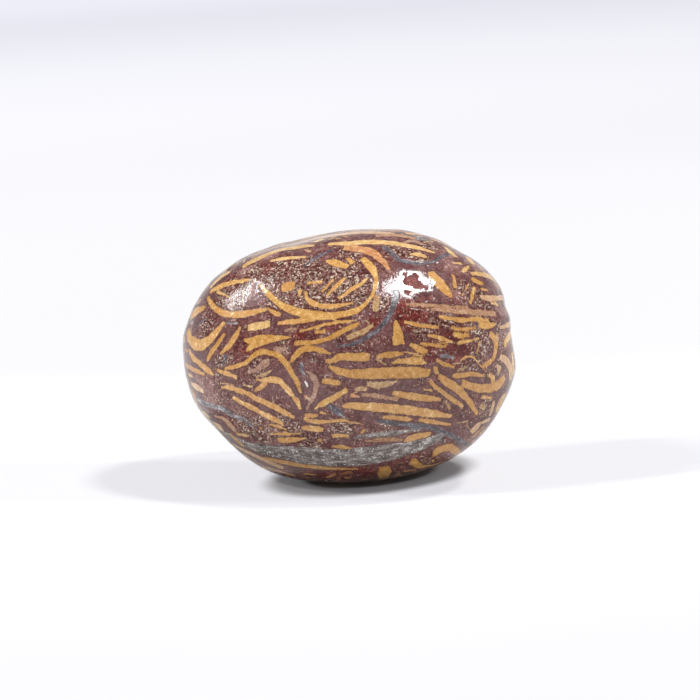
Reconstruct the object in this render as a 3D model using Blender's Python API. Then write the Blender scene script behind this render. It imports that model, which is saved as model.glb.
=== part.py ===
"""A tumbled jasper stone: one polished pebble, wider than it is tall, resting on a small worn flat.

The pebble is a sphere mesh drawn out to a full, rounded body. Broad lumps and hollows are then raised
and sunk in it, tumbling flats are worn softly into it, and its underside is cut level where it rests.

Frame: metres, +Z up, origin on the resting face, under the middle of the pebble.
+X runs along the pebble's length and -Y is its front.
"""

import math

import bmesh
import bpy
from mathutils import Vector

MM = 0.001

# The body, before lumps and flats, in millimetres.
LENGTH = 29.4
DEPTH = 24.2
HEIGHT = 22.8
OUTLINE_FULLNESS = 2.25  # 2 is an ellipse as seen from the front, and more is squarer
SIDE_FULLNESS = 2.2  # the same, from the outline to the front and back

# Broad lumps (+) and hollows (-): turn round the pebble from the front towards its right end,
# rise above its middle, height in millimetres and spread, with the angles in degrees.
LUMPS = (
    ("right_shoulder", 94, 36, 0.27, 28),
    ("right_upper_brow", 98, 58, 0.14, 16),
    ("right_cheek_hollow", 90, 8, -0.58, 12),
    ("right_end_hollow", 88, -8, -0.18, 10),
    ("right_lower_hollow", 86, -26, -0.78, 15),
    ("right_underside_hollow", 80, -58, -0.58, 24),
    ("left_top_dip", -96, 62, -0.70, 22),
    ("left_shoulder", -92, 20, 0.37, 24),
    ("left_end_knuckle", -89, -5, 0.46, 14),
    ("left_lower_hollow", -84, -32, -0.43, 16),
    ("left_heel", -80, -56, 0.18, 18),
    ("front_swell", -10, 6, 0.25, 30),
    ("brow_hollow", 38, 20, -0.18, 16),
    ("back_swell", 164, 8, 0.35, 36),
    ("back_hollow", -140, 24, -0.25, 22),
    ("back_right_lump", 118, -28, 0.20, 22),
)

# Flats that tumbling wore: turn and rise as above, and how far each lies from the middle.
FLATS = (
    ("front_left_flat", -34, 32, 12.35),
    ("back_low_flat", -170, -30, 12.0),
    ("back_high_flat", 150, 42, 12.2),
    ("resting_flat", 0, -90, 11.45),
)
FLAT_SHARPNESS = 26  # higher wears a flat with a crisper border

RESTING_CUT = 10.85  # the resting plane, below the pebble's middle
SPHERE_SUBDIVISIONS = 5  # 5120 triangles


def direction(turn_deg, rise_deg):
    """The unit vector at a turn from the front (-Y) towards +X, and a rise above the middle."""
    turn = math.radians(turn_deg)
    rise = math.radians(rise_deg)
    level = math.cos(rise)
    return Vector((math.sin(turn) * level, -math.cos(turn) * level, math.sin(rise)))


def body_radius(ray):
    """Distance in millimetres from the middle to the plain body's surface along a unit ray."""
    outline = (
        abs(ray.x / (LENGTH / 2)) ** OUTLINE_FULLNESS
        + abs(ray.z / (HEIGHT / 2)) ** OUTLINE_FULLNESS
    ) ** (1 / OUTLINE_FULLNESS)
    side = abs(ray.y / (DEPTH / 2))
    return (outline**SIDE_FULLNESS + side**SIDE_FULLNESS) ** (-1 / SIDE_FULLNESS)


def lumped_radius(ray):
    """The body's radius with every lump and hollow added."""
    radius = body_radius(ray)
    for _, turn, rise, height, spread in LUMPS:
        apart = math.degrees(ray.angle(direction(turn, rise)))
        radius += height * math.exp(-((apart / spread) ** 2))
    return radius


def worn_radius(ray):
    """The lumped radius with the tumbling flats worn softly into it."""
    closeness = lumped_radius(ray) ** -FLAT_SHARPNESS
    for _, turn, rise, distance in FLATS:
        facing = ray.dot(direction(turn, rise))
        if facing > 0:
            closeness += (facing / distance) ** FLAT_SHARPNESS
    return closeness ** (-1 / FLAT_SHARPNESS)


def stone_material():
    """Polished maroon jasper."""
    material = bpy.data.materials.new("jasper")
    material.use_nodes = True
    shader = material.node_tree.nodes["Principled BSDF"]
    shader.inputs["Base Color"].default_value = (0.23, 0.11, 0.06, 1)
    shader.inputs["Roughness"].default_value = 0.28
    shader.inputs["Metallic"].default_value = 0.0
    return material


def centre_over_origin(shape):
    """Slides the pebble level, so that the middle of its length and of its depth lie at the origin."""
    xs = [vertex.co.x for vertex in shape.verts]
    ys = [vertex.co.y for vertex in shape.verts]
    slide = Vector((-(min(xs) + max(xs)) / 2, -(min(ys) + max(ys)) / 2, 0))
    bmesh.ops.translate(shape, vec=slide, verts=shape.verts[:])


def shape_pebble(mesh):
    """Fills the mesh with the finished pebble, its resting face on z = 0."""
    shape = bmesh.new()
    bmesh.ops.create_icosphere(shape, subdivisions=SPHERE_SUBDIVISIONS, radius=1)
    middle = Vector((0, 0, RESTING_CUT * MM))
    for vertex in shape.verts:
        ray = vertex.co.normalized()
        vertex.co = middle + ray * worn_radius(ray) * MM
    cut = bmesh.ops.bisect_plane(
        shape,
        geom=shape.verts[:] + shape.edges[:] + shape.faces[:],
        dist=1e-6,
        plane_co=(0, 0, 0),
        plane_no=(0, 0, -1),
        clear_outer=True,
    )
    rim = [item for item in cut["geom_cut"] if isinstance(item, bmesh.types.BMEdge)]
    bmesh.ops.contextual_create(shape, geom=rim)
    bmesh.ops.recalc_face_normals(shape, faces=shape.faces[:])
    centre_over_origin(shape)
    shape.to_mesh(mesh)
    shape.free()


def make_stone(collection):
    """The one solid: the pebble."""
    mesh = bpy.data.meshes.new("jasper_stone")
    shape_pebble(mesh)
    mesh.shade_smooth()
    mesh.set_sharp_from_angle(angle=math.radians(40))
    mesh.materials.append(stone_material())
    stone = bpy.data.objects.new("jasper_stone", mesh)
    collection.objects.link(stone)
    return stone


def main():
    for leftover in list(bpy.data.objects):
        bpy.data.objects.remove(leftover)
    collection = bpy.data.collections.new("jasper stone")
    bpy.context.scene.collection.children.link(collection)
    make_stone(collection)


main()
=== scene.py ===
# A tumbled jasper stone: mustard chips, blue-grey veins and salt-and-pepper grain in polished maroon.
# All lengths in the dictionaries are millimetres, and all angles degrees, unless a note says otherwise.
import math

import bpy
import numpy as np
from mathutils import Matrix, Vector
from mathutils.bvhtree import BVHTree


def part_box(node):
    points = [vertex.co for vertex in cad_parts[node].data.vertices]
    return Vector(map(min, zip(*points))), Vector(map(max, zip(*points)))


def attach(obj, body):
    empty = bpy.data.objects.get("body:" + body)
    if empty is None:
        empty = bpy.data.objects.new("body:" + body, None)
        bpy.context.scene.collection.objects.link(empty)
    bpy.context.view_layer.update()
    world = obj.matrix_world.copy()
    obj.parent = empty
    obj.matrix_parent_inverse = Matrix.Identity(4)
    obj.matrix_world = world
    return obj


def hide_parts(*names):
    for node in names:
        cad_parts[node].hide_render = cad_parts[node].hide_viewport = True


mm = 0.001


# camera, which also places the listed markings of the front

view = {
    "elevation": 10,
    "distance": 262,
    "lens": 149.6,
    "sensor": 36,
    "aimAside": 0.15,
    "aimAbove": 0.29,
    "clip": (5, 20000),
    "middleBelowAim": 0.72,  # the front markings are counted from this far below the aim
    "leastShown": .40,       # a marking on a slant is widened as if at least this share of it showed
}


def cameraFrame(box):
    tilt = math.radians(view["elevation"])
    right = Vector((1, 0, 0))
    towards = Vector((0, -math.cos(tilt), math.sin(tilt)))
    up = towards.cross(right)
    middle = Vector((0, 0, (box[0].z + box[1].z) / 2))
    aim = middle + (right * view["aimAside"] + up * view["aimAbove"]) * mm
    return {"right": right, "up": up, "towards": towards, "aim": aim,
            "place": aim + towards * view["distance"] * mm}


def addCamera(eye):
    data = bpy.data.cameras.new("viewCamera")
    data.lens = view["lens"]
    data.sensor_width = view["sensor"]
    data.clip_start, data.clip_end = (reach * mm for reach in view["clip"])
    camera = bpy.data.objects.new("viewCamera", data)
    camera.location = eye["place"]
    camera.rotation_euler = (-eye["towards"]).to_track_quat("-Z", "Y").to_euler()
    bpy.context.scene.collection.objects.link(camera)
    bpy.context.scene.camera = camera


# node helpers

def addSocket(tree, name, kind, value=None, into="INPUT"):
    socket = tree.interface.new_socket(name=name, in_out=into, socket_type=kind)
    if value is not None:
        socket.default_value = value
    return socket


def addNode(tree, kind, **settings):
    node = tree.nodes.new(kind)
    for name, value in settings.items():
        setattr(node, name, value)
    return node


def plug(tree, target, source):
    if isinstance(source, bpy.types.NodeSocket):
        tree.links.new(source, target)
    else:
        target.default_value = source


def sums(tree, operation, *terms, clamp=False):
    node = addNode(tree, "ShaderNodeMath", operation=operation, use_clamp=clamp)
    for place, term in enumerate(terms):
        plug(tree, node.inputs[place], term)
    return node.outputs[0]


def vectorSums(tree, operation, *terms, scale=None):
    node = addNode(tree, "ShaderNodeVectorMath", operation=operation)
    for place, term in enumerate(terms):
        plug(tree, node.inputs[place], term)
    if scale is not None:
        plug(tree, node.inputs["Scale"], scale)
    return node.outputs["Value" if operation in ("DOT_PRODUCT", "LENGTH") else "Vector"]


def runModifier(piece, tree, values):
    modifier = piece.modifiers.new(tree.name, "NODES")
    modifier.node_group = tree
    sockets = {item.name: item.identifier for item in tree.interface.items_tree
               if item.item_type == "SOCKET" and item.in_out == "INPUT"}
    for name, value in values.items():
        modifier[sockets[name]] = value
    bpy.context.view_layer.update()
    graph = bpy.context.evaluated_depsgraph_get()
    plain = bpy.data.meshes.new_from_object(piece.evaluated_get(graph), depsgraph=graph)
    piece.modifiers.remove(modifier)
    piece.data = plain
    return piece


# the pebble's skin: a fine round grid thrown onto the solid, then eased smooth

stoneSkin = {
    "cellsPerSide": 128,
    "easing": 24,       # rounds of smoothing that take the solid's facets away
    "regrow": 1.0012,   # what that smoothing shrinks is given back
    "dullSunk": .04,    # how far the dull places lie below the polish
}


def buildSkinTree():
    tree = bpy.data.node_groups.new("pebbleSkin", "GeometryNodeTree")
    addSocket(tree, "Geometry", "NodeSocketGeometry", into="OUTPUT")
    addSocket(tree, "Solid", "NodeSocketObject")
    addSocket(tree, "Cells", "NodeSocketInt", 16)
    addSocket(tree, "Middle", "NodeSocketVector")
    addSocket(tree, "Easing", "NodeSocketInt", 4)
    addSocket(tree, "Regrow", "NodeSocketFloat", 1.0)
    addSocket(tree, "Finish", "NodeSocketMaterial")
    given = addNode(tree, "NodeGroupInput").outputs
    points = sums(tree, "ADD", given["Cells"], 1)
    cube = addNode(tree, "GeometryNodeMeshCube")
    cube.inputs["Size"].default_value = (2, 2, 2)
    for side in ("Vertices X", "Vertices Y", "Vertices Z"):
        plug(tree, cube.inputs[side], points)
    # equal angles from the middle make the cells of the six sides nearly equal
    place = addNode(tree, "GeometryNodeInputPosition").outputs[0]
    even = vectorSums(tree, "TANGENT", vectorSums(tree, "SCALE", place, scale=math.pi / 4))
    ray = vectorSums(tree, "NORMALIZE", even)
    keep = addNode(tree, "GeometryNodeStoreNamedAttribute", data_type="FLOAT_VECTOR", domain="POINT")
    keep.inputs["Name"].default_value = "ray"
    plug(tree, keep.inputs["Geometry"], cube.outputs["Mesh"])
    plug(tree, keep.inputs["Value"], ray)
    solid = addNode(tree, "GeometryNodeObjectInfo", transform_space="ORIGINAL")
    plug(tree, solid.inputs["Object"], given["Solid"])
    throw = addNode(tree, "GeometryNodeRaycast")
    plug(tree, throw.inputs["Target Geometry"], solid.outputs["Geometry"])
    plug(tree, throw.inputs["Source Position"], given["Middle"])
    plug(tree, throw.inputs["Ray Direction"], ray)
    throw.inputs["Ray Length"].default_value = 1.0
    land = addNode(tree, "GeometryNodeSetPosition")
    plug(tree, land.inputs["Geometry"], keep.outputs["Geometry"])
    plug(tree, land.inputs["Position"], throw.outputs["Hit Position"])
    ease = addNode(tree, "GeometryNodeBlurAttribute", data_type="FLOAT_VECTOR")
    plug(tree, ease.inputs["Value"], addNode(tree, "GeometryNodeInputPosition").outputs[0])
    plug(tree, ease.inputs["Iterations"], given["Easing"])
    fromMiddle = vectorSums(tree, "SUBTRACT", ease.outputs["Value"], given["Middle"])
    regrown = vectorSums(tree, "ADD", vectorSums(tree, "SCALE", fromMiddle, scale=given["Regrow"]),
                         given["Middle"])
    settle = addNode(tree, "GeometryNodeSetPosition")
    plug(tree, settle.inputs["Geometry"], land.outputs["Geometry"])
    plug(tree, settle.inputs["Position"], regrown)
    finishTree(tree, settle.outputs["Geometry"], given["Finish"])
    return tree


def finishTree(tree, geometry, finish):
    smooth = addNode(tree, "GeometryNodeSetShadeSmooth")
    plug(tree, smooth.inputs["Geometry"], geometry)
    real = addNode(tree, "GeometryNodeRealizeInstances")
    plug(tree, real.inputs["Geometry"], smooth.outputs["Geometry"])
    paint = addNode(tree, "GeometryNodeSetMaterial")
    plug(tree, paint.inputs["Geometry"], real.outputs["Geometry"])
    plug(tree, paint.inputs["Material"], finish)
    plug(tree, addNode(tree, "NodeGroupOutput").inputs["Geometry"], paint.outputs["Geometry"])


def addSkin(solid, box, material):
    skin = bpy.data.objects.new("pebbleSkin", bpy.data.meshes.new("pebbleSkin"))
    bpy.context.scene.collection.objects.link(skin)
    middle = ((box[0].x + box[1].x) / 2, (box[0].y + box[1].y) / 2, (box[0].z + box[1].z) / 2)
    return runModifier(skin, buildSkinTree(), {
        "Solid": solid, "Cells": stoneSkin["cellsPerSide"], "Middle": middle,
        "Easing": stoneSkin["easing"], "Regrow": stoneSkin["regrow"], "Finish": material})


def unit(vectors):
    return vectors / np.maximum(np.linalg.norm(vectors, axis=-1, keepdims=True), 1e-9)


def readPoints(mesh):
    flat = np.empty(len(mesh.vertices) * 3, np.float32)
    mesh.vertices.foreach_get("co", flat)
    return flat.reshape(-1, 3).astype(float) / mm


def writePoints(mesh, points):
    mesh.vertices.foreach_set("co", np.ascontiguousarray(points * mm, np.float32).ravel())
    mesh.update()


def readNormals(mesh):
    flat = np.empty(len(mesh.vertices) * 3, np.float32)
    mesh.vertex_normals.foreach_get("vector", flat)
    return flat.reshape(-1, 3).astype(float)


def readCorners(mesh):
    corners = np.empty(len(mesh.loops), np.int32)
    mesh.loops.foreach_get("vertex_index", corners)
    return corners.reshape(-1, 4)


def storeValues(mesh, name, values):
    kind = "FLOAT" if values.ndim == 1 else "FLOAT_VECTOR"
    layer = mesh.attributes.new(name, kind, "POINT")
    layer.data.foreach_set("value" if values.ndim == 1 else "vector",
                           np.ascontiguousarray(values, np.float32).ravel())


# Six square charts, three by two, one for each side of the grid.
def unwrapSkin(mesh, margin=0.012):
    rays = np.empty(len(mesh.vertices) * 3, np.float32)
    mesh.attributes["ray"].data.foreach_get("vector", rays)
    rays = rays.reshape(-1, 3)
    corners = readCorners(mesh)
    middles = rays[corners].mean(axis=1)
    axis = np.abs(middles).argmax(axis=1)
    rows = np.arange(len(axis))
    far = middles[rows, axis] > 0
    chart = axis * 2 + far
    cornerRays = rays[corners]
    major = np.abs(cornerRays[rows[:, None], np.arange(4)[None, :], axis[:, None]])
    first = cornerRays[rows[:, None], np.arange(4)[None, :], ((axis + 1) % 3)[:, None]]
    second = cornerRays[rows[:, None], np.arange(4)[None, :], ((axis + 2) % 3)[:, None]]
    across = np.arctan(first / major) * 2 / math.pi + 0.5
    along = np.arctan(second / major) * 2 / math.pi + 0.5
    across = np.where(far[:, None], across, 1 - across)
    spanned = 1 - 2 * margin
    column = (chart % 3)[:, None]
    row = (chart // 3)[:, None]
    uv = np.stack([(column + margin + across * spanned) / 3, (row + margin + along * spanned) / 2], -1)
    layer = mesh.uv_layers.new(name="OFBake")
    layer.data.foreach_set("uv", uv.astype(np.float32).ravel())


# Slight knuckles (+) and hollows (-) round the outline: turn from the right end up over the top,
# height and spread. Each fades towards the front and the back.
skinKnuckles = {
    "knuckles": [(-27, .09, 8), (-12, .06, 4), (-3.5, .30, 6.5), (14, .13, 3), (18, -.10, 2.6),
                 (26, .10, 6), (45, -.17, 5), (68, .10, 5), (122, .09, 3.5), (144, -.11, 5),
                 (163, .09, 4), (172.5, .24, 6), (199, .17, 7)],
    "fade": 24,
}


def raiseKnuckles(skin, eye):
    points = readPoints(skin.data)
    middle = (eye["aim"] - eye["up"] * view["middleBelowAim"] * mm) / mm
    reach = points - np.array(middle)
    aside, above, nearer = (reach @ np.array(eye[way]) for way in ("right", "up", "towards"))
    turn = np.degrees(np.arctan2(above, aside))
    depth = np.degrees(np.arctan2(nearer, np.hypot(aside, above)))
    rise = np.zeros(len(points))
    for place, height, spread in skinKnuckles["knuckles"]:
        apart = (turn - place + 180) % 360 - 180
        rise += height * np.exp(-(apart / spread) ** 2)
    rise *= np.exp(-(depth / skinKnuckles["fade"]) ** 2)
    writePoints(skin.data, points + unit(reach) * rise[:, None])


# markings laid on the front: each is a run of (right, up, width), counted from the
# middle of the pebble as the camera sees it

frontChips = {
    "golden": [
        [(-9.55, 1.65, .15), (-9.0, 1.55, .6), (-8.2, 1.6, .9), (-7.3, 1.68, .75), (-6.4, 1.8, .45),
         (-5.2, 1.88, .15)],
        [(-9.3, .6, .15), (-8.9, 1.05, .5), (-8.4, 1.35, .6)],
        [(-5, 1.35, .35), (-3.5, 1.4, .45), (-2.1, 1.7, .4), (-1.1, 2.2, .5), (0, 2.75, .5),
         (.9, 3.15, .25)],
        [(-4.5, 2.4, .15), (-3, 2.8, .25), (-1.6, 3.15, .25), (.5, 3.4, .12)],
        [(-3.1, 2.3, .2), (-2.2, 2.45, .3)],
        [(5.45, 1.25, .3), (6.2, .8, .6), (7, .5, .4)],
        [(10.9, 7.15, .25), (11.4, 6.9, .4), (12.0, 6.7, .3)],
        [(-8.3, -8.9, .15), (-7, -9.2, .3), (-5.5, -9.5, .36), (-4, -9.75, .34), (-2, -9.95, .3),
         (.7, -9.98, .15)],
        [(3.1, -9.8, .8), (3.15, -10.2, 1.2), (3.05, -10.6, 1.0), (2.95, -11.0, .5)],
        [(7.6, -8.85, .3), (7.95, -8.35, .58), (8.7, -8.12, .7), (9.4, -8.3, .7), (9.95, -8.65, .45)],
        [(5.7, -9.1, .5), (5.85, -9.5, .65), (6.4, -9.78, .4), (7.2, -9.72, .26), (8.2, -9.4, .14)],
        [(4.05, 3.35, .25), (4.25, 2.4, .75), (4.4, 1.2, 1.1)],
        [(-5.4, -.4, .3), (-5.0, .15, .42), (-4.4, .7, .5), (-3.7, .85, .55), (-2.8, .75, .5),
         (-1.7, .35, .15)],
        [(3.7, -.45, .12), (4.5, -.3, .45), (5.5, -.22, .62), (6.3, -.32, .5), (6.95, -.5, .12)],
        [(-12.9, -.3, .25), (-12.5, .5, .4), (-11.9, 1.3, .4), (-11.3, 2.2, .25)],
        [(-2.2, -.3, .3), (-1.5, -.2, .38), (-.9, .1, .6), (0, .12, .72), (1.0, .1, .78), (1.8, .1, .6)],
        [(2.35, .12, .2), (3.5, .28, .5), (4.8, .4, .3)],
        [(8, 1.45, .1), (8.8, 1.2, .1)],
        [(7.8, -.2, .35), (8.5, -.55, .42), (9.4, -.85, .22)],
        [(6.3, 1.3, .22), (7.5, 1.15, .32), (8.6, .95, .18)],
        [(9.3, 2.2, .4), (10, 2.0, .48), (10.7, 2.1, .3)],
        [(7.7, -.75, .32), (7.8, -1.4, .28)],
        [(-11.3, -.95, .25), (-10.4, -.8, .35), (-9.4, -.4, .4), (-8.6, .25, .45), (-7.9, .55, .45),
         (-7.2, .45, .45), (-6.3, .1, .5), (-5.7, -.6, .5), (-5.3, -1.3, .45), (-4.8, -2.1, .4),
         (-4.4, -3.2, .18)],
        [(9.6, 1.3, .25), (10.5, 1.5, .28), (11.6, 1.75, .15)],
        [(-8.1, 6.6, .3), (-7.2, 5.6, .5), (-6, 4.7, .6), (-4.5, 4.1, .7), (-3, 3.85, .75),
         (-1.5, 3.8, .6), (.4, 4.2, .5), (1.3, 4.8, .35), (1.9, 5.5, .32), (2.25, 6.3, .35),
         (2.35, 7.2, .4), (1.95, 8.1, .75), (1.1, 9.0, .45)],
        [(-2.2, 8.75, .3), (-1.2, 8.55, .6), (-.2, 8.2, .35)],
        [(-.25, 9.0, .25), (.35, 8.55, .45)],
        [(-1.9, -.75, .3), (-1.3, -1.05, .5), (-.6, -1.3, .68), (.5, -1.42, .8), (2.5, -1.38, .95),
         (5, -1.32, 1.0), (6.6, -1.32, .8), (7.2, -1.35, .6)],
        [(-2.5, -2.05, .4), (-1.6, -2.17, .5), (-.8, -2.3, .45)],
        [(-3.2, -4.6, .2), (-2.4, -4.1, .5), (-1.5, -3.6, .55), (-.25, -2.85, .4)],
    ],
    "tan": [
        [(7.2, 4.4, .3), (9, 4.28, .42), (11, 4.15, .5), (13.1, 3.95, .5)],
        [(5, 4.85, .2), (7, 4.75, .3), (9, 4.62, .3), (10.6, 4.6, .18)],
        [(2.3, 11.0, .3), (3.6, 11.1, .36), (5, 10.95, .34), (6, 10.75, .2)],
        [(13.35, 1.5, .2), (13.3, 2.3, .25)],
        [(-4.05, -3.3, .28), (-3.9, -3.7, .2)],
        [(-12.2, -5.2, .15), (-11.4, -5.5, .3), (-10.8, -6.05, .35), (-10.3, -6.6, .22)],
        [(1.1, -3.3, .3), (2.3, -3.42, .45), (4.3, -3.75, .22)],
    ],
    # a white scratch, then two thin streaks of painted highlight: a ledge catching light under the slate
    # vein, and light on the red patch below the brow
    "chalkAndPaintedGleam": [
        [(-4.05, -2.1, .06), (-3.95, -2.35, .12), (-3.8, -2.6, .06)],
        [(6.9, 8.3, .06), (7.3, 8.38, .1), (7.9, 8.62, .05)],
        [(5.2, 4.5, .05), (6.2, 4.36, .08), (7.2, 4.33, .05)],
    ],
    "mustard": [
        # around the big swirl at the upper left
        [(-12.8, 5.5, .3), (-12.2, 4.5, .5), (-11, 3.95, .55), (-9.5, 3.95, .6), (-7.5, 4.4, .3)],
        [(-12.6, 5.95, .3), (-11, 6.7, .45), (-9, 7.05, .2)],
        [(-14.4, 3.6, .35), (-13.9, 4.15, .6), (-13.1, 4.5, .4)],
        [(-7.45, 4.5, .15), (-6.75, 4.05, .4), (-6.25, 3.8, .25)],
        [(-14.6, 2.5, .35), (-14.35, 1.6, .7), (-13.6, 1.15, 1.1), (-12.7, 1.6, .75),
         (-12.0, 2.4, .5), (-11.3, 3.2, .3)],
        [(-11.7, .3, .3), (-10.9, 1.1, .45), (-10.3, 2.0, .4), (-9.9, 2.8, .25)],
        [(-6.5, 3.15, .3), (-4.8, 3.3, .52), (-3.1, 3.45, .3)],
        [(-4, 6.0, .25), (-3.85, 5.3, .45), (-3, 4.8, .46), (-1.8, 4.65, .42), (-.6, 4.8, .36),
         (.3, 5.0, .15)],
        [(-6.15, 6.3, .7), (-5.5, 6.45, .8), (-4.95, 6.55, .5)],
        [(-4.5, 6.15, .42), (-4.55, 5.45, .3)],
        [(-3.8, 6.75, .24), (-2.5, 6.85, .3)],
        [(-2.15, 5.5, .26), (-1.2, 6.5, .34), (-.4, 7.25, .22)],
        [(-2.55, 5.95, .16), (-2.0, 6.55, .26), (-1.5, 7.1, .14)],
        [(-1, 5.35, .25), (0, 6.1, .34), (.9, 6.65, .32), (1.7, 7.3, .14)],
        # beside and below the polished brow at the upper right
        [(7.25, 7.8, .45), (7.8, 7.0, .9), (8.5, 6.25, .75), (9.15, 5.45, .2)],
        [(9.3, 7.5, .3), (9.4, 6.9, .35), (9.5, 6.3, .25)],
        [(11.2, 6.4, .28), (11.0, 5.6, .32), (10.8, 4.9, .22)],
        [(11.8, 6.2, .2), (12.4, 6.1, .2)],
        [(10.7, 6.7, .1), (10.1, 5.6, .1)],
        [(8, 3.75, .25), (9, 3.55, .38), (10, 3.4, .45), (11, 3.48, .42), (12.5, 3.4, .25)],
        [(4.9, 3.25, .18), (6, 3.0, .35), (7, 2.85, .3), (8, 2.75, .2)],
        [(9.1, 2.85, .35), (9.8, 2.6, .3), (11.3, 2.7, .15)],
        [(11.6, 3.0, .45), (12.3, 2.9, .6), (13.2, 3.1, .25)],
        [(7.0, 2.1, .3), (8.2, 1.8, .35), (9.3, 1.4, .25)],
        [(4.9, .55, .1), (5.7, .4, .15), (6.6, .15, .1)],
        [(12.55, 2.2, .5), (13.05, 1.7, .5), (13.15, .9, .36), (12.95, .1, .34), (12.5, -.4, .4),
         (12.05, -.75, .25)],
        [(11.7, 1.5, .14), (11.55, .9, .16), (11.4, .3, .12)],
        [(10.0, -.2, .1), (10.5, .12, .14), (11.1, .05, .15), (11.6, -.5, .14), (12.3, -1.25, .12)],
        # the middle and the lower left
        [(-.7, -4.3, .2), (.2, -4.3, .6), (1.3, -4.37, .72), (3, -4.5, .8), (5, -4.68, .78),
         (7, -4.95, .7), (8.4, -5.15, .5), (9.2, -5.25, .3)],
        [(-8.5, -2.0, .15), (-7.5, -2.0, .5), (-6.8, -1.95, .55), (-6.2, -2.2, .5), (-5.7, -2.8, .45),
         (-5.1, -3.5, .45), (-4.7, -4.1, .38), (-4.5, -4.6, .18)],
        [(-7.5, -2.15, .5), (-8.0, -2.6, .45), (-8.6, -3.0, .12)],
        [(-11.6, -2.65, .25), (-10.8, -2.7, .42), (-9.5, -3.1, .45), (-8.3, -3.7, .45),
         (-7, -4.3, .45), (-6, -4.85, .45), (-5, -5.35, .25)],
        [(-10.6, -3.5, .3), (-9.6, -4.1, .4), (-8.6, -4.6, .42), (-7.5, -5.2, .45), (-6.5, -5.7, .45),
         (-6, -5.95, .25)],
        [(-12, -1.1, .3), (-11, -1.4, .4), (-10.2, -1.75, .28)],
        [(-14.5, .8, .15), (-14.2, .1, .38), (-13.5, -.5, .45), (-12.8, -1.1, .45), (-12.25, -1.55, .25)],
        [(-14.8, -.6, .3), (-14, -1.1, .4), (-13.1, -1.5, .28)],
        [(-7.4, -5.95, .15), (-6.6, -6.15, .28), (-5.7, -6.45, .12)],
        [(-7.3, -6.85, .14), (-6, -6.85, .22), (-4.4, -6.8, .12)],
        [(-6.6, -7.3, .25), (-6, -7.42, .5), (-5, -7.35, .45), (-3.9, -7.2, .12)],
        [(-4.4, -6.3, .3), (-3.6, -6.35, .5), (-2.4, -6.5, .35)],
        [(-4.2, -5.5, .18), (-3, -5.75, .38), (-1.5, -5.7, .3), (-.5, -5.62, .26), (.3, -5.9, .1)],
        [(-4.1, -5.15, .3), (-2.9, -5.2, .3)],
        [(-2.7, -4.9, .18), (-1.8, -5.1, .1)],
        [(-2.9, -7.3, .3), (-2.6, -7.5, .25)],
        [(-1.6, -7.0, .32), (-.1, -7.0, .32)],
        # the lower right
        [(9.2, -1.6, .38), (10, -1.55, .36), (11, -1.45, .4), (12.1, -1.6, .18)],
        [(12.55, -1.45, .35), (12.85, -1.85, .5), (12.95, -2.2, .3)],
        [(8.0, -1.65, .45), (8.8, -2.2, .7), (9.6, -2.75, .65), (10.2, -3.3, .6), (10.8, -4.0, .55),
         (11.5, -5.1, .28)],
        [(7.15, -1.95, .3), (7.7, -2.6, .45), (8.5, -3.2, .45), (9.2, -3.75, .45), (10.15, -4.4, .38)],
        [(3.8, -3.1, .4), (5, -3.35, .6), (6.5, -3.58, .65), (8.2, -3.75, .3)],
        [(6.6, -2.8, .2), (7.4, -2.95, .25)],
        [(2.9, -5.3, .32), (4.2, -5.4, .45), (5.6, -5.58, .28)],
        [(6.2, -5.55, .28), (7.5, -5.78, .36), (9.1, -6.0, .22)],
        [(1.0, -6.75, .2), (1.4, -6.35, .32)],
        [(4.9, -7.45, .3), (6, -7.1, .6), (7.3, -6.85, .32)],
        [(-1.7, -7.95, .12), (-.8, -8.0, .35), (.2, -8.15, .12)],
        [(10.1, -2.25, .6), (11, -2.55, .72), (12, -2.75, .78), (13, -2.6, .8), (13.65, -2.15, .6),
         (13.9, -1.65, .3)],
        [(11.9, -3.5, .25), (12.8, -3.6, .32)],
    ],
    "straw": [
        [(-9.7, 8.2, .3), (-8, 9.1, .5), (-6.5, 9.7, .5), (-4.6, 10.0, .45), (-3.2, 10.15, .2)],
        [(-7.2, 8.75, .2), (-5.6, 9.0, .3), (-4, 9.1, .15)],
        [(-2, 10.25, .25), (0, 10.35, .4), (1.5, 10.45, .42), (3, 10.42, .42), (4.5, 10.25, .4),
         (6, 9.95, .35), (7.7, 9.45, .15)],
        [(5.3, 9.35, .2), (6.1, 9.35, .35), (6.9, 9.05, .2)],
        [(8.5, 10.05, .2), (9.1, 9.5, .34), (9.6, 9.05, .2)],
        [(10.1, 7.75, .3), (10.4, 8.0, .42), (10.75, 8.3, .2)],
        [(12.7, 4.95, .2), (13.4, 4.75, .4)],
        [(14.5, 2.5, .25), (14.2, 1.75, .45), (13.9, 1.1, .3)],
        [(14.6, .5, .2), (14.7, -.6, .3), (14.6, -1.8, .2)],
        [(14.1, -3.2, .2), (13.6, -4.0, .6), (13.2, -4.9, .3)],
        [(11.4, -7.4, .2), (11.9, -6.9, .35), (12.5, -6.3, .2)],
        [(-12, 5.9, .2), (-11.4, 5.75, .3), (-10.9, 5.5, .15)],
        [(10.9, 7.6, .3), (12, 7.5, .42), (12.8, 7.2, .42), (13.4, 6.7, .25)],
        [(-12.6, 6.3, .25), (-11.5, 7.4, .35), (-10.8, 7.7, .2)],
        [(-10.2, -6.85, .25), (-9.1, -7.0, .3)],
        [(-9.2, 2.7, .6), (-8.2, 2.9, .72), (-7.2, 3.1, .5)],
    ],
    "umber": [
        [(1.4, -7.5, .15), (2.6, -7.4, .36), (3.9, -7.35, .4), (4.8, -7.4, .3)],
        [(-.9, -10.5, .25), (.2, -10.3, .3)],
    ],
    "rust": [
        [(-.6, 9.95, .45), (1, 9.8, .62), (2, 9.5, .7), (2.6, 9.0, .65), (3.15, 8.5, .45), (3.5, 8.0, .25)],
        [(.1, -3.35, .25), (.9, -3.5, .2)],
        [(-8.2, -6.2, .3), (-7.9, -6.4, .25)],
        [(-8, -9.7, .2), (-6.5, -10.15, .3), (-5, -10.6, .3)],
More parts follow.
